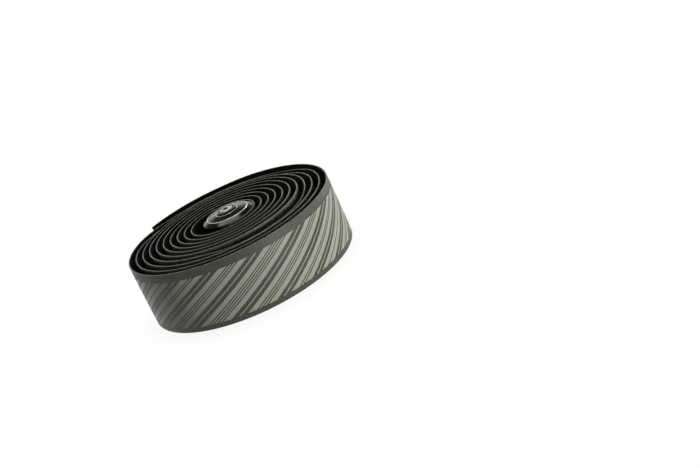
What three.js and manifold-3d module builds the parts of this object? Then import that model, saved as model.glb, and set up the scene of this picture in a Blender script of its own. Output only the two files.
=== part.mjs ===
// A roll of foam handlebar tape with a bar end plug in its core.
// Millimetres, +Z up. The roll stands on the edges of its turns, and its
// origin is the bottom centre of the whole part.
import * as THREE from 'three';
import { mergeVertices } from 'three/addons/utils/BufferGeometryUtils.js';
import Module from 'manifold-3d';

const wasm = await Module();
wasm.setup();

// Tape: a strip with a flat printed face outside and a foam back with bevelled edges
const tapeWidth = 30;
const tapeThickness = 3.3;
const edgeThickness = 0.6;
const bevelWidth = 6;

// Winding: the strip runs outwards and anticlockwise, seen from above
const coreRadius = 10.9;
const turns = 10.61;
const turnGap = 0.23;
const tailAngle = 131;
const stepsPerTurn = 60;

// The outer turns are pressed a little flat near the tail, which springs clear of them
const flatDepth = 1.4;
const flatAngle = 130;
const flatSpread = 35;
const tailLift = 1;
const tailSpring = 60;

// The turns around the plug have slid up; the outer ones stand on the ground
const coreRise = 1.1;
const risenTurns = 5.3;
const standingTurns = 9;

// Plug: a stepped cap, a ribbed sleeve, a cone nut and the screw that draws them together
const fitGap = 0.3;

// Cap, whose rim sits in the bevelled mouth of the first turn; heights are above the rim's edge
const rimOverhang = 2.75;
const rimDepth = 1;
const edgeRound = 0.25;
const shoulderWidth = 2.5;
const shoulderHeight = 1.05;
const dishWidth = 4.65;
const dishRise = 0.45;
const bossHeight = 1.8;
const bossWidth = 0.9;
const bossTopHeight = 2.3;
const headSink = 2.2;

// Screw, with a hex socket in its head
const screwRadius = 2;
const screwLength = 24;
const headRadius = 3.2;
const headHeight = 2.4;
const headChamfer = 0.4;
const socketAcross = 2.5;
const socketDepth = 1.5;

// Sleeve, leaning on one side of the core, and slotted so that the cone nut can spread it
const leanAngle = 20;
const sleeveSlack = 1.3;
const sleeveLength = 20;
const sleeveBore = 4.4;
const ribCount = 5;
const ribDepth = 0.9;
const ribLand = 1.3;
const slotCount = 4;
const slotWidth = 1.6;
const slotLength = 14;

// Cone nut
const coneRadius = 7.4;
const coneLength = 9;
const coneFoot = 2;

// Fineness of the round pieces, and how near points lie that are welded
const capSides = 64;
const plugSides = 36;
const weldReach = 1e-4;

// Worked out from the sizes above
const pitch = tapeThickness + turnGap;
const startAngle = tailAngle - 360 * turns;
const bevelSlope = (tapeThickness - edgeThickness) / bevelWidth;
const sleeveRadius = coreRadius - sleeveSlack;
const rimRadius = sleeveRadius + rimOverhang;
const screwHole = screwRadius + fitGap;
const headHole = headRadius + fitGap;

const foamSkin = new THREE.MeshStandardMaterial({ color: 0x666a62, roughness: 0.75, metalness: 0 });
const glossBlack = new THREE.MeshStandardMaterial({ color: 0x101112, roughness: 0.12, metalness: 0 });
const plainBlack = new THREE.MeshStandardMaterial({ color: 0x1b1c1c, roughness: 0.5, metalness: 0 });
const screwSteel = new THREE.MeshStandardMaterial({ color: 0xb8b9b4, roughness: 0.3, metalness: 1 });

function smooth(value) {
  return THREE.MathUtils.smoothstep(value, 0, 1);
}

// Angle from the middle of the flat, between -180 and 180 degrees
function fromFlat(angle) {
  return THREE.MathUtils.euclideanModulo(angle - flatAngle + 180, 360) - 180;
}

// Radius of the printed face at a winding angle
function faceRadius(angle) {
  const wound = coreRadius + tapeThickness + pitch * (angle - startAngle) / 360;
  const share = (angle - startAngle) / (tailAngle - startAngle);
  const flat = flatDepth * share * Math.exp(-((fromFlat(angle) / flatSpread) ** 2));
  const sprung = tailLift * smooth((angle - tailAngle + tailSpring) / tailSpring);
  return wound - flat + sprung;
}

// How far the strip has slid up at a winding angle
function edgeLift(angle) {
  const turn = (angle - startAngle) / 360;
  return coreRise * (1 - smooth((turn - risenTurns) / (standingTurns - risenTurns)));
}

// Where the plug stands: its shift from the middle of the spiral and the height of its rim
const firstLean = leanAngle + 360 * Math.ceil((startAngle - leanAngle) / 360);
const plugShift = faceRadius(firstLean) - tapeThickness - fitGap - sleeveRadius;
const rimReach = plugShift + rimRadius + fitGap;
const mouthGap = faceRadius(firstLean) - edgeThickness - rimReach;
const rimLevel = tapeWidth + edgeLift(firstLean) - mouthGap / bevelSlope;
const capFoot = rimLevel - rimDepth;
const bossTop = rimLevel + bossTopHeight;
const sleeveTop = capFoot - fitGap;
const sleeveFoot = sleeveTop - sleeveLength;

// The strip is drawn flat, x into its thickness and y up its width, then wound
function makeTape() {
  const section = new THREE.Shape([
    new THREE.Vector2(0, 0),
    new THREE.Vector2(edgeThickness, 0),
    new THREE.Vector2(tapeThickness, bevelWidth),
    new THREE.Vector2(tapeThickness, tapeWidth - bevelWidth),
    new THREE.Vector2(edgeThickness, tapeWidth),
    new THREE.Vector2(0, tapeWidth),
  ]);
  const steps = Math.ceil(stepsPerTurn * turns);
  const strip = new THREE.ExtrudeGeometry(section, { depth: 1, steps, bevelEnabled: false });
  const place = strip.getAttribute('position');
  for (let i = 0; i < place.count; i += 1) {
    const angle = startAngle + (tailAngle - startAngle) * place.getZ(i);
    const radius = faceRadius(angle) - place.getX(i);
    const height = place.getY(i) + edgeLift(angle);
    const heading = THREE.MathUtils.degToRad(angle);
    place.setXYZ(i, radius * Math.cos(heading), radius * Math.sin(heading), height);
  }
  return strip;
}

// A closed outline of radius and height pairs, turned about the plug's axis
function turned(outline, sides) {
  const points = outline.map(([radius, height]) => new THREE.Vector2(radius, height));
  return new THREE.LatheGeometry(points, sides).rotateX(Math.PI / 2);
}

function toSolid(geometry) {
  const bare = geometry.clone();
  bare.deleteAttribute('normal');
  bare.deleteAttribute('uv');
  const merged = mergeVertices(bare, weldReach);
  return new wasm.Manifold(new wasm.Mesh({
    numProp: 3,
    vertProperties: new Float32Array(merged.getAttribute('position').array),
    triVerts: new Uint32Array(merged.index.array),
  }));
}

function toGeometry(solid) {
  const mesh = solid.getMesh();
  const geometry = new THREE.BufferGeometry();
  geometry.setAttribute('position', new THREE.BufferAttribute(mesh.vertProperties, 3));
  geometry.setIndex(new THREE.BufferAttribute(mesh.triVerts, 1));
  geometry.computeVertexNormals();
  return geometry;
}

function makeCap() {
  const shoulder = rimRadius - shoulderWidth;
  const boss = shoulder - dishWidth;
  return turned([
    [screwHole, capFoot],
    [rimRadius - rimDepth * bevelSlope, capFoot],
    [rimRadius, rimLevel],
    [rimRadius - edgeRound, rimLevel + edgeRound],
    [shoulder + edgeRound, rimLevel + shoulderHeight - edgeRound],
    [shoulder, rimLevel + shoulderHeight],
    [shoulder - edgeRound, rimLevel + shoulderHeight - edgeRound],
    [boss + edgeRound, rimLevel + shoulderHeight + dishRise],
    [boss, rimLevel + bossHeight],
    [boss - bossWidth, bossTop],
    [headHole, bossTop],
    [headHole, bossTop - headSink],
    [screwHole, bossTop - headSink],
    [screwHole, capFoot],
  ], capSides);
}

function makeScrew() {
  const headSeat = bossTop - headSink + fitGap;
  const headTop = headSeat + headHeight;
  const blank = turned([
    [0, headSeat - screwLength],
    [screwRadius, headSeat - screwLength],
    [screwRadius, headSeat],
    [headRadius, headSeat],
    [headRadius, headTop - headChamfer],
    [headRadius - headChamfer, headTop],
    [0, headTop],
  ], plugSides);
  const cornerRadius = socketAcross / Math.sqrt(3);
  const hexagon = new THREE.CylinderGeometry(cornerRadius, cornerRadius, 2 * socketDepth, 6);
  hexagon.rotateX(Math.PI / 2).translate(0, 0, headTop);
  return toGeometry(toSolid(blank).subtract(toSolid(hexagon)));
}

function makeSleeve() {
  const mouth = coneRadius + fitGap;
  const ribStep = sleeveLength / ribCount;
  const outline = [
    [sleeveBore, sleeveTop],
    [sleeveBore, sleeveFoot + coneLength],
    [mouth, sleeveFoot],
  ];
  for (let rib = 0; rib < ribCount; rib += 1) {
    const foot = sleeveFoot + rib * ribStep;
    const slope = (ribStep - 2 * ribLand) / 2;
    outline.push([sleeveRadius - ribDepth, foot]);
    outline.push([sleeveRadius - ribDepth, foot + ribLand]);
    outline.push([sleeveRadius, foot + ribLand + slope]);
    outline.push([sleeveRadius, foot + 2 * ribLand + slope]);
  }
  outline.push([sleeveRadius - ribDepth, sleeveTop]);
  outline.push(outline[0]);
  let sleeve = toSolid(turned(outline, plugSides));
  for (let slot = 0; slot < slotCount; slot += 1) {
    const cutter = new THREE.BoxGeometry(rimRadius, slotWidth, 2 * slotLength);
    cutter.translate(rimRadius / 2, 0, sleeveFoot);
    cutter.rotateZ(2 * Math.PI * (slot + 0.5) / slotCount);
    sleeve = sleeve.subtract(toSolid(cutter));
  }
  return toGeometry(sleeve);
}

function makeConeNut() {
  return turned([
    [screwHole, sleeveFoot - coneFoot],
    [coneRadius, sleeveFoot - coneFoot],
    [coneRadius, sleeveFoot],
    [sleeveBore - fitGap, sleeveFoot + coneLength],
    [screwHole, sleeveFoot + coneLength],
    [screwHole, sleeveFoot - coneFoot],
  ], plugSides);
}

function named(name, geometry, material) {
  const mesh = new THREE.Mesh(geometry, material);
  mesh.name = name;
  return mesh;
}

const tape = named('tape', makeTape(), foamSkin);

const lean = THREE.MathUtils.degToRad(leanAngle);
const plug = new THREE.Group();
plug.position.set(plugShift * Math.cos(lean), plugShift * Math.sin(lean), 0);
plug.add(
  named('plug_cap', makeCap(), glossBlack),
  named('plug_screw', makeScrew(), screwSteel),
  named('plug_sleeve', makeSleeve(), plainBlack),
  named('plug_cone_nut', makeConeNut(), plainBlack),
);

const roll = new THREE.Group();
roll.add(tape, plug);
const middle = new THREE.Box3().setFromObject(roll).getCenter(new THREE.Vector3());
roll.position.set(-middle.x, -middle.y, 0);

const part = new THREE.Group();
part.add(roll);
export default part;
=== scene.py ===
"""A roll of striped foam handlebar tape with a bar end plug in its core.

The file is laid out as an add-on and run as a script. Lengths are metres.
"""

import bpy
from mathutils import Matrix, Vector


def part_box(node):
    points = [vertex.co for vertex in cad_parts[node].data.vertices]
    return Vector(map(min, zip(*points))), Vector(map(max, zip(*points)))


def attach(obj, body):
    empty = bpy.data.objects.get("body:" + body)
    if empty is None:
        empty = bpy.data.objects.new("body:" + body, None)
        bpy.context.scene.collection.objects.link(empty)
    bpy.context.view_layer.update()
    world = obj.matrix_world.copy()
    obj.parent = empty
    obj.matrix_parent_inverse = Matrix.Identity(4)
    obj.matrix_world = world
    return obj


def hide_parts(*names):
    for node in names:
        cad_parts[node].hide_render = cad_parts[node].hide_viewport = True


bl_info = {
    "name": "Handlebar Tape Roll",
    "version": (1, 0, 0),
    "blender": (4, 5, 0),
    "location": "View3D > Sidebar > Tape Roll",
    "description": "Winds striped foam tape on its spiral and turns the plug in its core",
    "category": "Object",
}

import math

import bmesh
import bpy
from bpy.props import FloatProperty, FloatVectorProperty, IntProperty, PointerProperty
from bpy.types import Operator, Panel, PropertyGroup
from mathutils import Matrix, Vector

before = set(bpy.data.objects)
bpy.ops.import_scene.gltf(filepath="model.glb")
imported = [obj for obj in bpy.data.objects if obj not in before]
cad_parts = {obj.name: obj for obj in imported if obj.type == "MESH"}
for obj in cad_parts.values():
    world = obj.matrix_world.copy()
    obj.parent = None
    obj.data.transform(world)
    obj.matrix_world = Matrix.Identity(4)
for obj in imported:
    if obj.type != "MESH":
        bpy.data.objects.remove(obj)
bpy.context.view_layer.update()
MM = 0.001

# How near two places are taken for one, and the part of its range that a noise mostly fills
CLOSE = 0.01 * MM
NOISE_RANGE = {"From Min": 0.3, "From Max": 0.7}

# Fineness: guide points per turn, steps along the tape and along one stripe, and a stripe's
# widest cell, so that it bends round the spiral
GUIDE_STEPS = 480
STRIP_STEPS = 2600
STRIPE_STEPS = 28
STRIPE_CELL = 1.1 * MM

# Where the upper edge of the tape has sunk: the winding angle at the middle of the place, half the
# place's length in degrees, and its depth
SUNKEN = (
    (-1142, 62, 1.4 * MM),
    (-635, 82, 1.55 * MM),
    (-282, 75, 1.45 * MM),
    (108, 45, 0.4 * MM),
)


def colour(code):
    """The linear red, green and blue of an sRGB hex value."""
    parts = [int(code[i:i + 2], 16) / 255 for i in (1, 3, 5)]
    return tuple(v / 12.92 if v <= 0.04045 else ((v + 0.055) / 1.055) ** 2.4 for v in parts)


def length(name, description, default):
    """A length property, given in millimetres."""
    return FloatProperty(name=name, description=description, default=default * MM, unit="LENGTH")


def angle(name, description, default):
    """An angle property, given in degrees."""
    turned = math.radians(default)
    return FloatProperty(name=name, description=description, default=turned, subtype="ANGLE")


def tint(name, description, code):
    """A colour property, given as an sRGB hex value."""
    rgb = colour(code)
    return FloatVectorProperty(name=name, description=description, default=rgb, subtype="COLOR")


def number(name, description, default):
    """A property that is a plain number."""
    return FloatProperty(name=name, description=description, default=default)


def counted(name, description, default):
    """A property that counts things."""
    return IntProperty(name=name, description=description, default=default)


def watts(name, description, default):
    """A lamp's power property, in watts."""
    return FloatProperty(name=name, description=description, default=default, unit="POWER")


class TapeSettings(PropertyGroup):
    """The tape, its winding and its colours."""

    width: length("Width", "Height of the roll as it lies", 30)
    thickness: length("Thickness", "Skin and foam over the middle of the tape", 3.3)
    edge: length("Edge", "Thickness left at the bevelled edges", 0.6)
    bevel: length("Bevel", "How far the foam is thinned in from each edge", 6)
    gap: length("Gap", "Clearance between turns", 0.23)
    core: length("Core radius", "Wall of the core where the tape starts", 10.9)
    turns: number("Turns", "Turns in the roll", 10.61)
    tail: angle("Tail angle", "Where the outer end of the tape lies", 131)
    flat: length("Flat", "How far the outer turns are pressed in near the tail", 1.4)
    flat_at: angle("Flat angle", "Middle of the pressed place", 130)
    flat_spread: angle("Flat spread", "Width of the pressed place", 35)
    lift: length("Tail lift", "How far the tail springs out", 1.0)
    spring: angle("Tail spring", "Length of the tail that springs out", 60)
    rise: length("Core rise", "How far the inner turns have slid up", 1.1)
    risen: number("Risen turns", "Turns at full rise", 5.3)
    standing: number("Standing turns", "First turn on the ground", 9.0)
    hollow: length("Hollow", "Rounding where the bevels leave the foam's back", 1.6)
    corner: length("Corner", "Rounding of the other corners along the tape", 0.2)
    skin: tint("Skin", "Dark printed skin", "#30332a")
    fleck: tint("Fleck", "Lighter flecks in the skin", "#5b6052")
    cut: tint("Cut edge", "Edge of the skin", "#b8b9ae")
    foam: tint("Foam", "Foam back", "#0d0d0b")


class StripeSettings(PropertyGroup):
    """The pattern printed on the tape, measured on the flat tape."""

    slope: angle("Slope", "Angle of the stripes to the tape's length", 29.5)
    low: length("Lower border", "Plain border under the stripes", 2.5)
    high: length("Upper border", "Plain border over the stripes", 3.9)
    wide: length("Wide stripe", "Pale stripe on each side of a group of lines", 4.2)
    line: length("Line", "Dark line", 1.0)
    pitch: length("Line pitch", "From one dark line to the next", 2.15)
    thin: length("Thin stripe", "Pale stripe between two dark bands", 1.0)
    band: length("Band", "Narrowest dark band, before its share for the lines beside it", 2.15)
    band_step: length("Band step", "Width a dark band gains for each line beside it", 0.18)
    most: counted("Most lines", "Lines in the largest group", 4)
    middle: length("Middle", "Largest group, measured from the front of the roll", -3.5)
    relief: length("Relief", "Height of the pale stripes above the skin", 0.12)
    sunk: length("Sunk", "How far the stripes reach into the skin", 0.04)
    outline: length("Outline", "Dark outline round each pale stripe", 0.22)
    pale: tint("Pale", "Pale stripes", "#b2b5a3")
    dark: tint("Dark", "Dark lines", "#20231c")


class PlugSettings(PropertyGroup):
    """The bar end plug's sizes that don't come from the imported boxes, and its colours."""

    rim: length("Rim", "How far the cap's widest edge lies above its foot", 0.5)
    chamfer: length("Chamfer", "Width of the slope from the rim to the crest", 2.5)
    crest: length("Crest", "How far the crest lies above the rim", 1.5)
    bead: length("Bead", "Radius of the rounded crest", 0.34)
    foot_bead: length("Foot bead", "Radius of the bead at the boss's foot", 0.18)
    dish: length("Dish", "Width of the dish between the crest and the boss", 4.65)
    dish_rise: length("Dish rise", "How far the boss's foot lies above the crest", 0.65)
    boss_top: length("Boss top", "Radius at the top of the boss", 4.3)
    hole: length("Screw hole", "Radius of the hole for the screw", 2.3)
    head_hole: length("Head hole", "Radius of the recess for the screw's head", 3.5)
    head_sink: length("Head sink", "Depth of the recess for the screw's head", 2.2)
    screw: length("Screw", "Radius of the screw", 2.0)
    head: length("Head", "Height of the screw's head", 2.4)
    socket_across: length("Socket across", "Width of the hex socket across its flats", 2.5)
    socket_deep: length("Socket depth", "Depth of the hex socket", 1.5)
    ribs: counted("Ribs", "Ribs round the sleeve", 5)
    rib: length("Rib", "How far the ribs stand out of the sleeve", 0.9)
    bore: length("Bore", "Radius of the sleeve's bore", 4.4)
    mouth: length("Mouth", "Radius of the sleeve's flared foot, inside", 7.7)
    slots: counted("Slots", "Slots in the sleeve's foot", 4)
    slot: length("Slot", "Width of the slots", 1.6)
    slot_long: length("Slot length", "How far the slots reach up the sleeve", 14)
    cone: length("Cone", "Height of the cone nut's slope", 9)
    cone_foot: length("Cone foot", "Height of the cone nut's foot", 2)
    cone_top: length("Cone top", "Radius of the cone nut's top", 4.1)
    gloss: tint("Cap", "Gloss black of the cap", "#08080a")
    # The edge colour is a painted highlight: the bright rings that the cap's rounded beads catch,
    # given as a pale colour
    edge: tint("Edge", "Painted highlight: bright rings on the cap's beads", "#f6f4de")
    # The screw's colour is partly painted highlight: near-white at half metal, so the head is pale
    # all over its top
    steel: tint("Screw", "Bright plated steel", "#fbf9e0")
    # The socket colour is painted shade: the dark of the hex socket and of the head's side inside the
    # cap's recess
    socket: tint("Socket", "Painted shade on the screw's socket and head side", "#191917")
    moulded: tint("Sleeve", "Moulded black of the sleeve and the cone nut", "#161616")


class StageSettings(PropertyGroup):
    """The floor, the lamps and the light all round."""

    floor: tint("Floor", "Pale floor and backdrop", "#a0a09e")
    front: watts("Front", "Power of the light in front", 4.8)
    right: watts("Right", "Power of the light on the right", 2.3)
    left: watts("Left", "Power of the light on the left", 0.2)
    top: watts("Top", "Power of the light overhead", 0.68)
    fill: watts("Fill", "Power of the fill overhead, which gloss doesn't show", 1.25)
    world: number("World", "Strength of the light all round", 0.05)
    near: number("Near", "How brightly the card around the roll is shown", 0.88)
    far: number("Far", "How brightly the card far from the roll is shown", 0.975)


def start_clean():
    """Goes to object mode with nothing selected."""
    if bpy.context.object and bpy.context.object.mode != "OBJECT":
        bpy.ops.object.mode_set(mode="OBJECT")
    bpy.ops.object.select_all(action="DESELECT")


def choose(piece):
    """Selects one piece and no other, and makes it the active one."""
    start_clean()
    piece.select_set(True)
    bpy.context.view_layer.objects.active = piece


def edit(piece):
    """Opens one piece in edit mode with nothing selected in it."""
    choose(piece)
    bpy.ops.object.mode_set(mode="EDIT")
    bpy.ops.mesh.select_all(action="DESELECT")


def pick(kind, test):
    """Selects the vertices, edges or faces of the edited mesh that pass a test, and no others."""
    bpy.ops.mesh.select_mode(type=kind)
    bpy.ops.mesh.select_all(action="DESELECT")
    edited = bmesh.from_edit_mesh(bpy.context.object.data)
    for item in {"VERT": edited.verts, "EDGE": edited.edges, "FACE": edited.faces}[kind]:
        if test(item):
            item.select_set(True)
    edited.select_flush_mode()
    bmesh.update_edit_mesh(bpy.context.object.data)


def leave_edit():
    """Closes edit mode and returns the piece."""
    bpy.ops.object.mode_set(mode="OBJECT")
    return bpy.context.object


def finish_with(piece, kind, **settings):
    """Adds a modifier to a piece, sets it and applies it."""
    choose(piece)
    modifier = piece.modifiers.new(kind.lower(), kind)
    for name, value in settings.items():
        setattr(modifier, name, value)
    bpy.ops.object.modifier_apply(modifier=modifier.name)


def smooth_shade(piece, limit=30):
    """Shades a piece smooth but for the edges sharper than a limit in degrees."""
    choose(piece)
    bpy.ops.object.shade_smooth_by_angle(angle=math.radians(limit))


def smooth_step(value):
    """0 below 0, 1 above 1, with a soft start and end between them."""
    value = min(max(value, 0), 1)
    return value * value * (3 - 2 * value)


def start_angle(tape):
    """The winding angle at the inner end."""
    return tape.tail - math.tau * tape.turns


def face_radius(tape, turned):
    """Radius of the printed face at a winding angle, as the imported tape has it."""
    begin = start_angle(tape)
    wound = tape.core + tape.thickness
    wound += (tape.thickness + tape.gap) * (turned - begin) / math.tau
    share = (turned - begin) / (tape.tail - begin)
    off = (turned - tape.flat_at + math.pi) % math.tau - math.pi
    flat = tape.flat * share * math.exp(-((off / tape.flat_spread) ** 2))
    return wound - flat + tape.lift * smooth_step((turned - tape.tail + tape.spring) / tape.spring)


def edge_lift(tape, turned):
    """How far the tape has slid up at a winding angle."""
    turn = (turned - start_angle(tape)) / math.tau
    return tape.rise * (1 - smooth_step((turn - tape.risen) / (tape.standing - tape.risen)))


def guide_points(tape):
    """Points along the printed face at floor height, from the core to the tail."""
    begin = start_angle(tape)
    steps = math.ceil(GUIDE_STEPS * tape.turns)
    points = []
    for step in range(steps + 1):
        turned = begin + (tape.tail - begin) * step / steps
        radius = face_radius(tape, turned)
        height = edge_lift(tape, turned)
        points.append(Vector((radius * math.cos(turned), radius * math.sin(turned), height)))
    return points


def length_to(points, tape, turned):
    """Length of tape from the core to a winding angle."""
    share = (turned - start_angle(tape)) / (tape.tail - start_angle(tape))
    last = round(share * (len(points) - 1))
    return sum((b - a).length for a, b in zip(points[:last], points[1:]))


def make_guide(points):
    """The spiral that the flat pieces are wound on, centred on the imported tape."""
    start_clean()
    bpy.ops.curve.primitive_nurbs_path_add()
    guide = bpy.context.object
    guide.name = "winding_guide"
    guide.data.splines.clear()
    spline = guide.data.splines.new("POLY")
    spline.points.add(len(points) - 1)
    low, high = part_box("tape")
    middle = (low + high) / 2
    across = [(min(p[i] for p in points) + max(p[i] for p in points)) / 2 for i in (0, 1)]
    for point, place in zip(spline.points, points):
        point.co = (place.x - across[0] + middle.x, place.y - across[1] + middle.y, place.z, 1)
    guide.data.twist_mode = "Z_UP"
    guide.data.use_stretch = False
    guide.data.use_deform_bounds = False
    return guide


def keep_flat_place(piece):
    """Stores where each point lay on the flat tape, for patterns that follow it."""
    flat = piece.data.attributes.new("flat", "FLOAT_VECTOR", "POINT")
    for point, kept in zip(piece.data.vertices, flat.data):
        kept.vector = point.co


def sink_edge(strip, tape, points, at, reach, depth):
    """Lowers the upper edge by a depth around one winding angle, and leaves the foot.

    The depth is full over the middle of the place, and fades down the tape's upper part."""
    middle = length_to(points, tape, at)
    half = reach * face_radius(tape, at)
    steepness = 1.6
    faded = 0.6 * tape.width
    group = strip.vertex_groups.new(name="sunken")
    for point in strip.data.vertices:
        along = smooth_step(steepness * (1 - abs(point.co.x - middle) / half))
        up = smooth_step((point.co.z - faded) / (tape.width - faded))
        if along * up > 0:
            group.add([point.index], along * up, "REPLACE")
    finish_with(
        strip, "DISPLACE", direction="Z", strength=-depth, mid_level=0, vertex_group="sunken",
    )
    strip.vertex_groups.clear()


def wind(piece, guide):
    """Winds a flat piece on the spiral."""
    finish_with(piece, "CURVE", object=guide, deform_axis="POS_X")


def opaque(rgb):
    """A colour with the alpha that sockets ask for."""
    return (*rgb, 1)


def add_node(tree, kind, inputs=None, output=None, **settings):
    """Adds a node with its settings, and sets or links its inputs.

    Returns the node, or the output that is asked for."""
    made = tree.nodes.new(kind)
    for name, value in settings.items():
        setattr(made, name, value)
    for name, value in (inputs or {}).items():
        if isinstance(value, bpy.types.NodeSocket):
            tree.links.new(value, made.inputs[name])
        else:
            made.inputs[name].default_value = value
    return made if output is None else made.outputs[output]


def new_material(name):
    """An empty material and its node tree."""
    material = bpy.data.materials.new(name)
    material.use_nodes = True
    material.node_tree.nodes.clear()
    return material, material.node_tree


def material_once(name, make, *settings):
    """A material by its name, made the first time that it is asked for."""
    return bpy.data.materials.get(name) or make(*settings)


def printed_skin(tape):
    """Polyurethane skin, printed and embossed with fine dots: matt, with lighter flecks.

    The real dots are about 0.3 mm apart, and are drawn coarser so that they show."""
    material, tree = new_material("printed polyurethane skin")
    place = add_node(tree, "ShaderNodeAttribute", None, "Vector", attribute_name="flat")
    dots = add_node(tree, "ShaderNodeTexNoise", {
        "Vector": place, "Scale": 1 / (0.8 * MM), "Detail": 3.0, "Roughness": 0.65,
    }, "Fac")
    flecks = add_node(tree, "ShaderNodeMapRange", {
        "Value": dots, "From Min": 0.36, "From Max": 0.68,
    }, "Result")
    clouds = add_node(tree, "ShaderNodeTexNoise", {"Vector": place, "Scale": 1 / (14 * MM)}, "Fac")
    shader = add_node(tree, "ShaderNodeBsdfPrincipled", {
        "Base Color": add_node(tree, "ShaderNodeMix", {
            0: flecks, 6: opaque(tape.skin), 7: opaque(tape.fleck),
        }, 2, data_type="RGBA"),
        "Roughness": add_node(tree, "ShaderNodeMapRange", {
            "Value": clouds, **NOISE_RANGE, "To Min": 0.44, "To Max": 0.52,
        }, "Result"),
        "Specular IOR Level": 0.35,
        "Normal": add_node(tree, "ShaderNodeBump", {
            "Height": flecks, "Distance": 0.08 * MM, "Strength": 1.0,
        }, "Normal"),
    }, "BSDF")
    add_node(tree, "ShaderNodeOutputMaterial", {"Surface": shader})
    return material


def pale_film(stripes):
    """Pale printed film over the skin: smoother than the skin, with a faint grain.

    The grain is the skin's, seen through the film, and is drawn coarser so that it shows."""
    material, tree = new_material("pale printed film")
    place = add_node(tree, "ShaderNodeAttribute", None, "Vector", attribute_name="flat")
    grain = add_node(tree, "ShaderNodeTexNoise", {"Vector": place, "Scale": 1 / (0.5 * MM)}, "Fac")
    shade = add_node(tree, "ShaderNodeMapRange", {"Value": grain, **NOISE_RANGE}, "Result")
    darker = tuple(0.84 * part for part in stripes.pale)
    shader = add_node(tree, "ShaderNodeBsdfPrincipled", {
        "Base Color": add_node(tree, "ShaderNodeMix", {
            0: shade, 6: opaque(darker), 7: opaque(stripes.pale),
        }, 2, data_type="RGBA"),
        "Roughness": add_node(tree, "ShaderNodeMapRange", {
            "Value": grain, **NOISE_RANGE, "To Min": 0.32, "To Max": 0.4,
        }, "Result"),
        "Specular IOR Level": 0.25,
        "Normal": add_node(tree, "ShaderNodeBump", {
            "Height": grain, "Distance": 0.03 * MM, "Strength": 1.0,
        }, "Normal"),
    }, "BSDF")
    add_node(tree, "ShaderNodeOutputMaterial", {"Surface": shader})
    return material


def pressed_line(stripes):
    """Lines pressed into the skin, which hold dark ink: darker than the skin, and matt."""
    material, tree = new_material("inked pressed line")
    place = add_node(tree, "ShaderNodeAttribute", None, "Vector", attribute_name="flat")
    grain = add_node(tree, "ShaderNodeTexNoise", {
        "Vector": place, "Scale": 1 / (0.4 * MM), "Detail": 1.0,
    }, "Fac")
    shade = add_node(tree, "ShaderNodeMapRange", {"Value": grain, **NOISE_RANGE}, "Result")
    lighter = tuple(1.8 * part for part in stripes.dark)
    shader = add_node(tree, "ShaderNodeBsdfPrincipled", {
        "Base Color": add_node(tree, "ShaderNodeMix", {
            0: shade, 6: opaque(stripes.dark), 7: opaque(lighter),
        }, 2, data_type="RGBA"),
        "Roughness": 0.6,
    }, "BSDF")
    add_node(tree, "ShaderNodeOutputMaterial", {"Surface": shader})
    return material


def cut_skin(tape):
    """The cut edge of the skin: a paler grey than its printed face, uneven along the cut."""
    material, tree = new_material("cut polyurethane edge")
    place = add_node(tree, "ShaderNodeAttribute", None, "Vector", attribute_name="flat")
    along = add_node(tree, "ShaderNodeTexNoise", {
        "Vector": place, "Scale": 1 / (5 * MM), "Detail": 3.0,
    }, "Fac")
    shade = add_node(tree, "ShaderNodeMapRange", {"Value": along, **NOISE_RANGE}, "Result")
    darker = tuple(0.7 * part for part in tape.cut)
    shader = add_node(tree, "ShaderNodeBsdfPrincipled", {
        "Base Color": add_node(tree, "ShaderNodeMix", {
            0: shade, 6: opaque(darker), 7: opaque(tape.cut),
        }, 2, data_type="RGBA"),
        "Roughness": 0.5,
    }, "BSDF")
    add_node(tree, "ShaderNodeOutputMaterial", {"Surface": shader})
    return material


def closed_cell_foam(tape):
    """EVA foam, skived to a bevel: matt black and a little patchy, with cells the knife opened.

    The cells are about 0.2 mm across, and are drawn coarser so that they show."""
    material, tree = new_material("skived EVA foam")
    place = add_node(tree, "ShaderNodeAttribute", None, "Vector", attribute_name="flat")
    cells = add_node(tree, "ShaderNodeTexNoise", {"Vector": place, "Scale": 1 / (0.5 * MM)}, "Fac")
    patches = add_node(tree, "ShaderNodeTexNoise", {
        "Vector": place, "Scale": 1 / (3 * MM), "Detail": 3.0,
    }, "Fac")
    shade = add_node(tree, "ShaderNodeMapRange", {"Value": patches, **NOISE_RANGE}, "Result")
    lighter = tuple(1.9 * part for part in tape.foam)
    shader = add_node(tree, "ShaderNodeBsdfPrincipled", {
        "Base Color": add_node(tree, "ShaderNodeMix", {
            0: shade, 6: opaque(tape.foam), 7: opaque(lighter),
        }, 2, data_type="RGBA"),
        "Roughness": 0.85,
        "Specular IOR Level": 0.1,
        "Normal": add_node(tree, "ShaderNodeBump", {
            "Height": cells, "Distance": 0.02 * MM, "Strength": 1.0,
        }, "Normal"),
    }, "BSDF")
    add_node(tree, "ShaderNodeOutputMaterial", {"Surface": shader})
    return material


def mottled(name, rgb, size, smoothest, roughest, inputs):
    """A material of one colour, whose roughness wanders between two values over a size."""
    material, tree = new_material(name)
    place = add_node(tree, "ShaderNodeTexCoord", None, "Object")
    marks = add_node(tree, "ShaderNodeTexNoise", {"Vector": place, "Scale": 1 / size}, "Fac")
    shader = add_node(tree, "ShaderNodeBsdfPrincipled", {
        "Base Color": opaque(rgb),
        "Roughness": add_node(tree, "ShaderNodeMapRange", {
            "Value": marks, **NOISE_RANGE, "To Min": smoothest, "To Max": roughest,
        }, "Result"),
        **inputs,
    }, "BSDF")
    add_node(tree, "ShaderNodeOutputMaterial", {"Surface": shader})
    return material


def gloss_black(plug):
    """Polished black ABS: glossy with soft reflections, and a faint ripple from the mould."""
    return mottled("polished black ABS", plug.gloss, 3 * MM, 0.15, 0.2, {})


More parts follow.
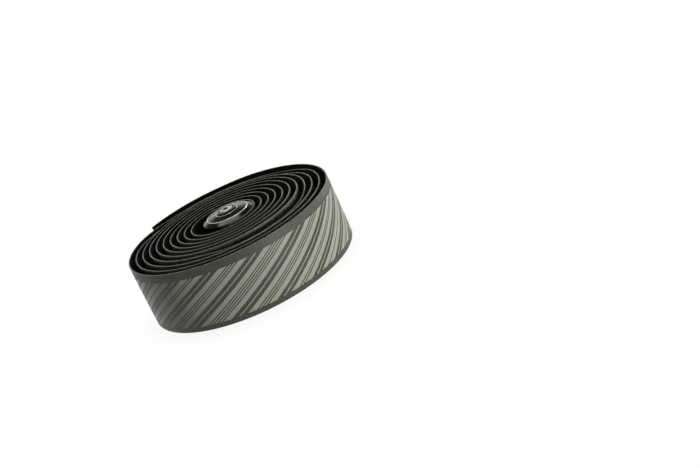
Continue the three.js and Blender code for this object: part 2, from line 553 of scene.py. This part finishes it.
def bead_painted_highlight(plug):
    """Pale satin metal on the cap's beads, pale all round: a painted highlight, the bright rings that
    the rounded beads catch given as a colour.
    """
    return mottled("bead painted highlight", plug.edge, 2 * MM, 0.38, 0.46, {"Metallic": 0.85})


def plated_steel_painted_highlight(plug):
    """Bright nickel on a steel screw: satin from fine turning marks. Its near-white colour at only
    half metal is partly a painted highlight, which makes it pale all over its top.
    """
    return mottled(
        "plated steel with painted highlight", plug.steel, 1.5 * MM, 0.28, 0.36, {"Metallic": 0.45},
    )


def painted_shade_steel(plug):
    """Painted shade on the steel: dark and matt, for the shade in the hex socket and on the head's
    side within the cap's recess.
    """
    return mottled(
        "steel with painted shade", plug.socket, 0.6 * MM, 0.55, 0.7,
        {"Metallic": 0.3, "Specular IOR Level": 0.2},
    )


def moulded_nylon(plug):
    """Moulded black nylon: satin, with the fine grain of a spark eroded mould.

    The grain is about 0.1 mm, and is drawn coarser so that it shows."""
    material, tree = new_material("moulded black nylon")
    place = add_node(tree, "ShaderNodeTexCoord", None, "Object")
    grain = add_node(tree, "ShaderNodeTexNoise", {"Vector": place, "Scale": 1 / (0.25 * MM)}, "Fac")
    shader = add_node(tree, "ShaderNodeBsdfPrincipled", {
        "Base Color": opaque(plug.moulded),
        "Roughness": 0.42,
        "Normal": add_node(tree, "ShaderNodeBump", {
            "Height": grain, "Distance": 0.02 * MM, "Strength": 1.0,
        }, "Normal"),
    }, "BSDF")
    add_node(tree, "ShaderNodeOutputMaterial", {"Surface": shader})
    return material


def tape_materials(tape):
    """Skin, cut edge and foam, in the order of the slots."""
    return (
        material_once("printed polyurethane skin", printed_skin, tape),
        material_once("cut polyurethane edge", cut_skin, tape),
        material_once("skived EVA foam", closed_cell_foam, tape),
    )


def model_strip(tape, whole):
    """The flat tape: one short length of its section, repeated and closed at both ends."""
    step = whole / STRIP_STEPS
    start_clean()
    size = (step, tape.thickness, tape.width)
    bpy.ops.mesh.primitive_cube_add(size=1, location=[part / 2 for part in size], scale=size)
    bpy.ops.object.transform_apply()
    strip = bpy.context.object
    strip.name = "wound_tape"
    edit(strip)
    for height in (tape.bevel, tape.width - tape.bevel):
        bpy.ops.mesh.select_all(action="SELECT")
        bpy.ops.mesh.bisect(plane_co=(0, 0, height), plane_no=(0, 0, 1))
    pick("VERT", lambda v: v.co.y > CLOSE and not CLOSE < v.co.z < tape.width - CLOSE)
    bpy.ops.transform.translate(value=(0, tape.edge - tape.thickness, 0))
    pick("EDGE", lambda e: runs_along(e) and e.verts[0].co.y > tape.thickness - CLOSE)
    bpy.ops.mesh.bevel(offset=tape.hollow, segments=3, affect="EDGES")
    pick("EDGE", lambda e: runs_along(e) and not CLOSE < e.verts[0].co.z < tape.width - CLOSE)
    bpy.ops.mesh.bevel(offset=tape.corner, segments=2, affect="EDGES")
    pick("FACE", lambda f: abs(f.normal.x) > 0.9)
    bpy.ops.mesh.delete(type="ONLY_FACE")
    strip = leave_edit()
    for material in tape_materials(tape):
        strip.data.materials.append(material)
    for face in strip.data.polygons:
        face.material_index = tape_slot(tape, face)
    finish_with(
        strip, "ARRAY", count=STRIP_STEPS, use_relative_offset=False, use_constant_offset=True,
        constant_offset_displace=(step, 0, 0), use_merge_vertices=True, merge_threshold=CLOSE,
    )
    edit(strip)
    for end in (0, whole):
        pick("EDGE", lambda e: e.is_boundary and all(abs(v.co.x - end) < step / 2 for v in e.verts))
        bpy.ops.mesh.edge_face_add()
    bpy.ops.mesh.select_all(action="SELECT")
    bpy.ops.mesh.normals_make_consistent(inside=False)
    strip = leave_edit()
    for face in strip.data.polygons:
        if abs(face.normal.x) > 0.9:
            face.material_index = 2
    return strip


def runs_along(item):
    """Whether an edge of the flat tape runs along its length."""
    way = item.verts[1].co - item.verts[0].co
    return abs(way.x) > 0.9 * way.length


def tape_slot(tape, face):
    """0 for the printed face, 1 for the edge and 2 for the foam back."""
    if face.normal.y < -0.9:
        return 0
    margin = tape.corner + 0.1 * MM
    at_edge = not margin < face.center.z < tape.width - margin
    return 1 if at_edge and face.center.y < tape.edge else 2


def line_counts(stripes):
    """Numbers of lines in the groups of one repeat: the most first, down to 1 and up again."""
    down = list(range(stripes.most, 0, -1))
    return down + down[-2:0:-1]


def band_width(stripes, here, after):
    """Width of a dark band between two groups, which grows with the lines in both."""
    return stripes.band + stripes.band_step * (here + after)


def group_half(stripes, count):
    """Half the width of a group of lines with its two wide pale stripes."""
    return ((count - 1) * stripes.pitch + stripes.line) / 2 + stripes.wide


def stripe_rows(stripes):
    """Middles and widths of the pale stripes and of the dark lines, and the length of a repeat."""
    counts = line_counts(stripes)
    pale, dark = [], []
    place = 0.0
    for count, after in zip(counts, counts[1:] + counts[:1]):
        first = place - (count - 1) * stripes.pitch / 2
        for line in range(count):
            dark.append((first + line * stripes.pitch, stripes.line))
        for line in range(count - 1):
            middle = first + (line + 0.5) * stripes.pitch
            pale.append((middle, stripes.pitch - stripes.line))
        edge = group_half(stripes, count)
        pale.append((place - edge + stripes.wide / 2, stripes.wide))
        pale.append((place + edge - stripes.wide / 2, stripes.wide))
        band = band_width(stripes, count, after)
        pale.append((place + edge + band + stripes.thin / 2, stripes.thin))
        place += edge + 2 * band + stripes.thin + group_half(stripes, after)
    return pale, dark, place


def model_stripe(tape, stripes, wide, high, more, material):
    """One slanting stripe on the flat tape: a small foot, drawn up the slope in short steps.

    It stands as high as it is told, and reaches further at each end by what it is given."""
    rise = tape.width - stripes.low - stripes.high + 2 * more
    run = rise / math.tan(stripes.slope)
    cells = math.ceil(wide / STRIPE_CELL)
    start_clean()
    bpy.ops.mesh.primitive_plane_add(size=1)
    stripe = bpy.context.object
    stripe.name = "stripe"
    edit(stripe)
    bpy.ops.mesh.select_all(action="SELECT")
    bpy.ops.transform.resize(value=(wide, high + stripes.sunk, 1), center_override=(0, 0, 0))
    for cut in range(1, cells):
        across = wide * (cut / cells - 0.5)
        bpy.ops.mesh.select_all(action="SELECT")
        bpy.ops.mesh.bisect(plane_co=(across, 0, 0), plane_no=(1, 0, 0))
    bpy.ops.mesh.select_all(action="SELECT")
    foot = (-run / 2, (stripes.sunk - high) / 2, stripes.low - more)
    bpy.ops.transform.translate(value=foot)
    step = (run / STRIPE_STEPS, 0, rise / STRIPE_STEPS)
    for _ in range(STRIPE_STEPS):
        bpy.ops.mesh.extrude_region_move(TRANSFORM_OT_translate={"value": step})
    bpy.ops.mesh.select_all(action="SELECT")
    bpy.ops.mesh.normals_make_consistent(inside=False)
    stripe = leave_edit()
    stripe.data.materials.append(material)
    return stripe


def copies_along(model, places, end):
    """Copies a stripe to each place along the tape, cuts the last ones off, and deletes the model."""
    copies = []
    for place in places:
        copy = model.copy()
        copy.data = model.data.copy()
        copy.data.transform(Matrix.Translation((place, 0, 0)))
        bpy.context.collection.objects.link(copy)
        if max(point.co.x for point in copy.data.vertices) > end:
            cut_off(copy, end)
        copies.append(copy)
    bpy.data.objects.remove(model)
    return copies


def cut_off(piece, end):
    """Cuts off what reaches past the end of the tape, and closes the cut."""
    edit(piece)
    bpy.ops.mesh.select_all(action="SELECT")
    bpy.ops.mesh.bisect(
        plane_co=(end, 0, 0), plane_no=(1, 0, 0), use_fill=True, clear_outer=True,
    )
    leave_edit()


def join(pieces, name):
    """Joins pieces into one and names it."""
    start_clean()
    for piece in pieces:
        piece.select_set(True)
    bpy.context.view_layer.objects.active = pieces[0]
    bpy.ops.object.join()
    pieces[0].name = name
    return pieces[0]


def model_rings(name, rings, segments):
    """A turned form: a circle, then ring after ring extruded and scaled along an outline.

    The outline is a list of radius and height, and its first and last rings are joined where
    they meet or else closed with a face."""
    start_clean()
    radius, height = rings[0]
    bpy.ops.mesh.primitive_circle_add(vertices=segments, radius=radius, location=(0, 0, height))
    bpy.ops.object.transform_apply()
    form = bpy.context.object
    form.name = name
    edit(form)
    bpy.ops.mesh.select_mode(type="EDGE")
    bpy.ops.mesh.select_all(action="SELECT")
    for next_radius, next_height in rings[1:]:
        bpy.ops.mesh.extrude_region_move(
            TRANSFORM_OT_translate={"value": (0, 0, next_height - height)}
        )
        ratio = next_radius / radius
        bpy.ops.transform.resize(value=(ratio, ratio, 1), center_override=(0, 0, next_height))
        radius, height = next_radius, next_height
    open_ends = rings[0] != rings[-1]
    if open_ends:
        for end in (rings[0], rings[-1]):
            pick("EDGE", lambda e: e.is_boundary and on_ring(e, end))
            bpy.ops.mesh.edge_face_add()
    bpy.ops.mesh.select_all(action="SELECT")
    bpy.ops.mesh.remove_doubles(threshold=CLOSE)
    bpy.ops.mesh.normals_make_consistent(inside=False)
    return leave_edit()


def on_ring(item, ring):
    """Whether an edge lies on a ring of an outline."""
    radius, height = ring
    return all(
        abs(v.co.z - height) < CLOSE and abs(math.hypot(v.co.x, v.co.y) - radius) < CLOSE
        for v in item.verts
    )


def arc(middle, radius, first, last, steps):
    """Points of an outline along an arc, by its angles in degrees."""
    points = []
    for step in range(steps + 1):
        turned = math.radians(first + (last - first) * step / steps)
        points.append((middle[0] + radius * math.cos(turned), middle[1] + radius * math.sin(turned)))
    return points


def cap_beads(plug):
    """Radius, height and roundness of the two beads: on the crest and at the boss's foot."""
    low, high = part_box("plug_cap")
    shoulder = (high.x - low.x) / 2 - plug.chamfer
    crest = low.z + plug.rim + plug.crest
    return (
        (shoulder, crest - plug.bead, plug.bead),
        (shoulder - plug.dish, crest + plug.dish_rise - plug.foot_bead, plug.foot_bead),
    )


def on_bead(beads, place):
    """Whether a place lies on the round of a bead."""
    across = math.hypot(place.x, place.y)
    slack = 1.02
    return any(
        math.hypot(across - radius, place.z - height) < slack * bead and place.z > height
        for radius, height, bead in beads
    )


def cap_outline(plug):
    """The stepped cap: a rim, a slope to a rounded crest, a dish, and a boss around the screw."""
    low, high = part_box("plug_cap")
    foot, top = low.z, high.z
    rim = (high.x - low.x) / 2
    level = foot + plug.rim
    small = 0.12 * MM
    (shoulder, crest, bead), (boss, boss_foot, foot_bead) = cap_beads(plug)
    return [
        (plug.hole, foot), (rim - 1.2 * MM, foot), (rim - 0.6 * MM, foot - 0.2 * MM),
        (rim - 0.4 * MM, foot - 0.2 * MM), (rim - 0.14 * MM, foot + 0.14 * MM),
        *arc((rim - small, level), small, 0, 60, 3),
        *arc((shoulder, crest), bead, 10, 160, 10),
        *arc((boss, boss_foot), foot_bead, 15, 130, 6),
        (plug.boss_top + 0.1 * MM, top - 0.1 * MM),
        *arc((plug.boss_top, top - small), small, 60, 90, 2),
        *arc((plug.head_hole + small, top - small), small, 90, 180, 3),
        (plug.head_hole, top - plug.head_sink), (plug.hole, top - plug.head_sink), (plug.hole, foot),
    ]


def stand_on_plug_axis(piece):
    """Moves a piece that was turned about the origin to the plug's axis, and fixes it there."""
    low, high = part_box("plug_cap")
    choose(piece)
    piece.location = ((low.x + high.x) / 2, (low.y + high.y) / 2, 0)
    bpy.ops.object.transform_apply()


def hand_over(piece, slot, *nodes):
    """Lets a piece ride with the part and stand for its nodes."""
    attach(piece, "root")
    if nodes:
        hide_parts(*nodes)


class TAPE_OT_wind(Operator):
    """Models the foam tape flat and winds it into the roll"""

    bl_idname = "tape_roll.wind_tape"
    bl_label = "Wind tape"

    def execute(self, context):
        tape = context.scene.roll_tape
        points = guide_points(tape)
        whole = length_to(points, tape, tape.tail)
        guide = make_guide(points)
        strip = model_strip(tape, whole)
        keep_flat_place(strip)
        for at, reach, depth in SUNKEN:
            sink_edge(strip, tape, points, math.radians(at), math.radians(reach), depth)
        wind(strip, guide)
        smooth_shade(strip)
        hand_over(strip, "printed_foam", "tape")
        bpy.data.objects.remove(guide)
        return {"FINISHED"}


class TAPE_OT_stripe(Operator):
    """Lays the pale stripes and the dark lines on the outer turn"""

    bl_idname = "tape_roll.lay_stripes"
    bl_label = "Lay stripes"

    def execute(self, context):
        tape = context.scene.roll_tape
        stripes = context.scene.roll_stripes
        points = guide_points(tape)
        whole = length_to(points, tape, tape.tail)
        front = length_to(points, tape, -math.pi / 2) + stripes.middle
        run = (tape.width - stripes.low - stripes.high) / math.tan(stripes.slope)
        start = whole - math.tau * face_radius(tape, tape.tail) - run / 2
        end = whole - stripes.outline
        pale, dark, repeat = stripe_rows(stripes)
        guide = make_guide(points)
        film = material_once("pale printed film", pale_film, stripes)
        ink = material_once("inked pressed line", pressed_line, stripes)
        made = []
        outlined = [(middle, wide + 2 * stripes.outline) for middle, wide in pale]
        layers = (
            (pale, stripes.relief, 0, film),
            (outlined, stripes.relief / 3, stripes.outline, ink),
            (dark, stripes.relief / 3, 0, ink),
        )
        for rows, high, more, material in layers:
            for wide in sorted({row[1] for row in rows}):
                places = []
                for middle in (row[0] for row in rows if row[1] == wide):
                    first = math.ceil((start - front - middle) / repeat)
                    last = math.floor((end + (run - wide) / 2 - front - middle) / repeat)
                    places += [front + middle + repeat * i for i in range(first, last + 1)]
                model = model_stripe(tape, stripes, wide, high, more, material)
                made += copies_along(model, places, end)
        laid = join(made, "printed_stripes")
        keep_flat_place(laid)
        wind(laid, guide)
        smooth_shade(laid)
        hand_over(laid, "printed_foam")
        bpy.data.objects.remove(guide)
        return {"FINISHED"}


class TAPE_OT_cap(Operator):
    """Turns the stepped gloss cap of the plug"""

    bl_idname = "tape_roll.turn_cap"
    bl_label = "Turn cap"

    def execute(self, context):
        plug = context.scene.roll_plug
        cap = model_rings("turned_cap", cap_outline(plug), 128)
        cap.data.materials.append(material_once("polished black ABS", gloss_black, plug))
        cap.data.materials.append(material_once("bead painted highlight", bead_painted_highlight, plug))
        # The faces on the beads take the painted highlight's pale colour
        beads = cap_beads(plug)
        for face in cap.data.polygons:
            if on_bead(beads, face.center):
                face.material_index = 1
        stand_on_plug_axis(cap)
        smooth_shade(cap, 40)
        finish_with(cap, "WEIGHTED_NORMAL", keep_sharp=True)
        hand_over(cap, "gloss_cap", "plug_cap")
        return {"FINISHED"}


class TAPE_OT_screw(Operator):
    """Turns the clamp screw and sinks its hex socket"""

    bl_idname = "tape_roll.turn_screw"
    bl_label = "Turn screw"

    def execute(self, context):
        plug = context.scene.roll_plug
        low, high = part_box("plug_screw")
        head = (high.x - low.x) / 2
        seat = high.z - plug.head
        outline = [
            (plug.screw - 0.3 * MM, low.z), (plug.screw, low.z + 0.3 * MM), (plug.screw, seat),
            (head - 0.1 * MM, seat), (head, seat + 0.1 * MM),
            (head, high.z - 0.7 * MM), (head - 0.08 * MM, high.z - 0.45 * MM),
            (head - 0.3 * MM, high.z - 0.22 * MM), (head - 0.7 * MM, high.z - 0.08 * MM),
            (head - 1.3 * MM, high.z),
        ]
        screw = model_rings("clamp_screw", outline, 64)
        start_clean()
        corner = plug.socket_across / math.sqrt(3)
        bpy.ops.mesh.primitive_cylinder_add(
            vertices=6, radius=corner, depth=2 * plug.socket_deep, location=(0, 0, high.z)
        )
        key = bpy.context.object
        finish_with(screw, "BOOLEAN", object=key, operation="DIFFERENCE")
        bpy.data.objects.remove(key)
        finish_with(screw, "BEVEL", width=0.08 * MM, segments=2, limit_method="ANGLE",
                    angle_limit=math.radians(50))
        screw.data.materials.clear()
        screw.data.materials.append(material_once("plated steel with painted highlight", plated_steel_painted_highlight, plug))
        screw.data.materials.append(material_once("steel with painted shade", painted_shade_steel, plug))
        # The socket and the head's side take the dark steel: painted shade, where the recess lies in
        # shade
        for face in screw.data.polygons:
            across = math.hypot(face.center.x, face.center.y)
            in_socket = across < corner and seat < face.center.z < high.z - 0.1 * MM
            on_side = across > head - 0.1 * MM and face.center.z < high.z - 0.5 * MM
            face.material_index = 1 if in_socket or on_side else 0
        stand_on_plug_axis(screw)
        smooth_shade(screw, 40)
        hand_over(screw, "screw_steel", "plug_screw")
        return {"FINISHED"}


class TAPE_OT_sleeve(Operator):
    """Turns the ribbed sleeve and cuts its slots"""

    bl_idname = "tape_roll.turn_sleeve"
    bl_label = "Turn sleeve"

    def execute(self, context):
        plug = context.scene.roll_plug
        low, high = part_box("plug_sleeve")
        outer = (high.x - low.x) / 2
        eased, root = outer - 0.15 * MM, outer - plug.rib
        step = (high.z - low.z) / plug.ribs
        rib_shape = (
            (root, 0.02), (root, 0.3), (eased, 0.62), (outer, 0.68), (outer, 0.93), (eased, 0.98),
        )
        outline = [(plug.bore, high.z), (plug.bore, low.z + plug.cone), (plug.mouth, low.z)]
        for rib in range(plug.ribs):
            outline += [(radius, low.z + (rib + share) * step) for radius, share in rib_shape]
        outline += [(root, high.z), (plug.bore, high.z)]
        sleeve = model_rings("ribbed_sleeve", outline, 96)
        for slot in range(plug.slots):
            start_clean()
            turned = math.tau * (slot + 0.5) / plug.slots
            way = Vector((math.cos(turned), math.sin(turned), 0)) * outer * 0.75
            bpy.ops.mesh.primitive_cube_add(
                size=1, location=(way.x, way.y, low.z), rotation=(0, 0, turned),
                scale=(outer, plug.slot, 2 * plug.slot_long),
            )
            cutter = bpy.context.object
            finish_with(sleeve, "BOOLEAN", object=cutter, operation="DIFFERENCE")
            bpy.data.objects.remove(cutter)
        stand_on_plug_axis(sleeve)
        smooth_shade(sleeve, 25)
        sleeve.data.materials.append(material_once("moulded black nylon", moulded_nylon, plug))
        hand_over(sleeve, "plug_plastic", "plug_sleeve")
        return {"FINISHED"}


class TAPE_OT_cone(Operator):
    """Turns the cone nut at the foot of the sleeve"""

    bl_idname = "tape_roll.turn_cone"
    bl_label = "Turn cone nut"

    def execute(self, context):
        plug = context.scene.roll_plug
        low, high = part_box("plug_cone_nut")
        wide = (high.x - low.x) / 2
        bore, tip = plug.hole, plug.cone_top
        small = 0.3 * MM
        outline = [
            (bore, low.z + small), (bore + small, low.z), (wide - small, low.z),
            (wide, low.z + small), (wide, low.z + plug.cone_foot), (tip, high.z - 0.2 * MM),
            (tip - 0.2 * MM, high.z), (bore, high.z), (bore, low.z + small),
        ]
        cone = model_rings("cone_nut", outline, 96)
        stand_on_plug_axis(cone)
        smooth_shade(cone, 30)
        cone.data.materials.append(material_once("moulded black nylon", moulded_nylon, plug))
        hand_over(cone, "plug_plastic", "plug_cone_nut")
        return {"FINISHED"}


class TAPE_OT_stage(Operator):
    """Sets the camera, the pale floor and backdrop, and the soft lights"""

    bl_idname = "tape_roll.set_stage"
    bl_label = "Set stage"

    def execute(self, context):
        stage = context.scene.roll_stage
        make_camera(context.scene)
        make_floor(stage)
        make_lamp("front_light", (0.53, -0.69, 0.035), (0.14, 0.06), stage.front)
        make_lamp("right_light", (0.85, 0.25, 0.055), (0.4, 0.12), stage.right)
        make_lamp("left_light", (-0.8, -0.45, 0.07), (0.4, 0.12), stage.left)
        make_lamp("top_light", (-0.05, 0.225, 0.7), (0.46, 0.18), stage.top, (-0.1, 0, 0))
        fill = make_lamp("fill_light", (0, 0.15, 0.8), (0.5, 0.4), stage.fill)
        fill.visible_glossy = False
        make_world(context.scene, stage)
        context.scene.view_settings.view_transform = "Standard"
        return {"FINISHED"}


def make_camera(scene):
    """A 72 mm lens, 0.65 m away and turned about its own axis as the photograph's view is."""
    camera = bpy.data.objects.new("camera", bpy.data.cameras.new("camera"))
    scene.collection.objects.link(camera)
    camera.data.lens = 72
    camera.data.sensor_width = 36
    camera.location = (0, -0.6111, 0.2233)
    camera.rotation_euler = [math.radians(turn) for turn in (67.91, 22.64, -13.38)]
    scene.camera = camera


def make_floor(stage):
    """A floor that sweeps up to a backdrop behind the roll."""
    start_clean()
    reach = 3.0
    bpy.ops.mesh.primitive_plane_add(size=2 * reach)
    floor = bpy.context.object
    floor.name = "floor"
    edit(floor)
    pick("EDGE", lambda e: all(v.co.y > reach - CLOSE for v in e.verts))
    bpy.ops.mesh.extrude_region_move(TRANSFORM_OT_translate={"value": (0, 0, 1.0)})
    pick("EDGE", lambda e: all(v.co.y > reach - CLOSE and v.co.z < CLOSE for v in e.verts))
    bpy.ops.mesh.bevel(offset=0.3, segments=12, affect="EDGES")
    floor = leave_edit()
    smooth_shade(floor, 60)
    floor.data.materials.append(pale_card(stage))


def pale_card(stage):
    """Matt pale card, shown as white to the camera, to gloss and to glass, where it isn't shaded.

    It glows a little more far from the roll, where the lamps hardly reach it."""
    material, tree = new_material("matt pale card")
    rays = add_node(tree, "ShaderNodeLightPath").outputs
    seen = add_node(tree, "ShaderNodeMath", {
        0: rays["Is Camera Ray"], 1: rays["Is Glossy Ray"],
    }, "Value", operation="ADD")
    shown = add_node(tree, "ShaderNodeMath", {
        0: seen, 1: rays["Is Transmission Ray"],
    }, "Value", operation="ADD", use_clamp=True)
    place = add_node(tree, "ShaderNodeTexCoord", None, "Object")
    off = add_node(tree, "ShaderNodeVectorMath", {0: place}, "Value", operation="LENGTH")
    white = add_node(tree, "ShaderNodeMapRange", {
        "Value": off, "From Min": 0.2, "From Max": 1.0, "To Min": stage.near, "To Max": stage.far,
    }, "Result")
    strength = add_node(tree, "ShaderNodeMath", {0: shown, 1: white}, "Value", operation="MULTIPLY")
    matt = add_node(tree, "ShaderNodeBsdfDiffuse", {"Color": opaque(stage.floor)}, "BSDF")
    glow = add_node(tree, "ShaderNodeEmission", {"Strength": strength}, "Emission")
    both = add_node(tree, "ShaderNodeAddShader", {0: matt, 1: glow}, "Shader")
    add_node(tree, "ShaderNodeOutputMaterial", {"Surface": both})
    return material


def make_lamp(name, place, size, power, aim=(0, 0, 0.015)):
    """A soft light, as wide and tall as its size, that faces the roll."""
    lamp = bpy.data.objects.new(name, bpy.data.lights.new(name, "AREA"))
    bpy.context.scene.collection.objects.link(lamp)
    lamp.data.shape = "RECTANGLE"
    lamp.data.size, lamp.data.size_y = size
    lamp.data.energy = power
    lamp.location = place
    way = Vector(aim) - lamp.location
    lamp.rotation_euler = way.to_track_quat("-Z", "Y").to_euler()
    return lamp


def make_world(scene, stage):
    """Soft light from all round, white where the camera looks past the floor.

    Gloss shows it white at the horizon, fading to dark above, as a studio's low white walls do."""
    world = bpy.data.worlds.new("soft_world")
    world.use_nodes = True
    tree = world.node_tree
    tree.nodes.clear()
    rays = add_node(tree, "ShaderNodeLightPath").outputs
    light, white = [
        add_node(tree, "ShaderNodeBackground", {
            "Color": (1, 1, 1, 1), "Strength": strength,
        }, "Background")
        for strength in (stage.world, 1.0)
    ]
    place = add_node(tree, "ShaderNodeTexCoord", None, "Generated")
    height = add_node(tree, "ShaderNodeSeparateXYZ", {0: place}, "Z")
    wall = add_node(tree, "ShaderNodeMapRange", {
        "Value": height, "To Min": 1.0, "To Max": 0.05,
        "From Min": math.sin(math.radians(15)), "From Max": math.sin(math.radians(26)),
    }, "Result")
    shown = add_node(tree, "ShaderNodeMath", {
        0: rays["Is Glossy Ray"], 1: wall,
    }, "Value", operation="MULTIPLY")
    seen = add_node(tree, "ShaderNodeMath", {
        0: rays["Is Camera Ray"], 1: shown,
    }, "Value", operation="ADD", use_clamp=True)
    mix = add_node(tree, "ShaderNodeMixShader", {0: seen, 1: light, 2: white}, "Shader")
    add_node(tree, "ShaderNodeOutputWorld", {"Surface": mix})
    scene.world = world


class TAPE_PT_roll(Panel):
    """Lists the operators and every setting"""

    bl_label = "Tape Roll"
    bl_idname = "TAPE_PT_roll"
    bl_space_type = "VIEW_3D"
    bl_region_type = "UI"
    bl_category = "Tape Roll"

    def draw(self, context):
        """Draws a button for each operator and a box for each group of settings."""
        for operator in OPERATORS:
            self.layout.operator(operator.bl_idname)
        for name in SETTINGS:
            group = getattr(context.scene, name)
            box = self.layout.box()
            for prop in group.bl_rna.properties:
                if prop.identifier not in ("rna_type", "name"):
                    box.prop(group, prop.identifier)


OPERATORS = (
    TAPE_OT_stage, TAPE_OT_wind, TAPE_OT_stripe, TAPE_OT_cap, TAPE_OT_screw, TAPE_OT_sleeve,
    TAPE_OT_cone,
)
SETTINGS = {
    "roll_tape": TapeSettings,
    "roll_stripes": StripeSettings,
    "roll_plug": PlugSettings,
    "roll_stage": StageSettings,
}


def register():
    """Registers the classes and gives the scene its settings."""
    for group in (*SETTINGS.values(), *OPERATORS, TAPE_PT_roll):
        bpy.utils.register_class(group)
    for name, group in SETTINGS.items():
        setattr(bpy.types.Scene, name, PointerProperty(type=group))


def unregister():
    """Takes back what register does."""
    for name in SETTINGS:
        delattr(bpy.types.Scene, name)
    for group in reversed((*SETTINGS.values(), *OPERATORS, TAPE_PT_roll)):
        bpy.utils.unregister_class(group)


def main():
    """Makes the stage and every piece."""
    register()
    bpy.ops.tape_roll.set_stage()
    bpy.ops.tape_roll.wind_tape()
    bpy.ops.tape_roll.lay_stripes()
    bpy.ops.tape_roll.turn_cap()
    bpy.ops.tape_roll.turn_screw()
    bpy.ops.tape_roll.turn_sleeve()
    bpy.ops.tape_roll.turn_cone()


if __name__ == "__main__":
    main()
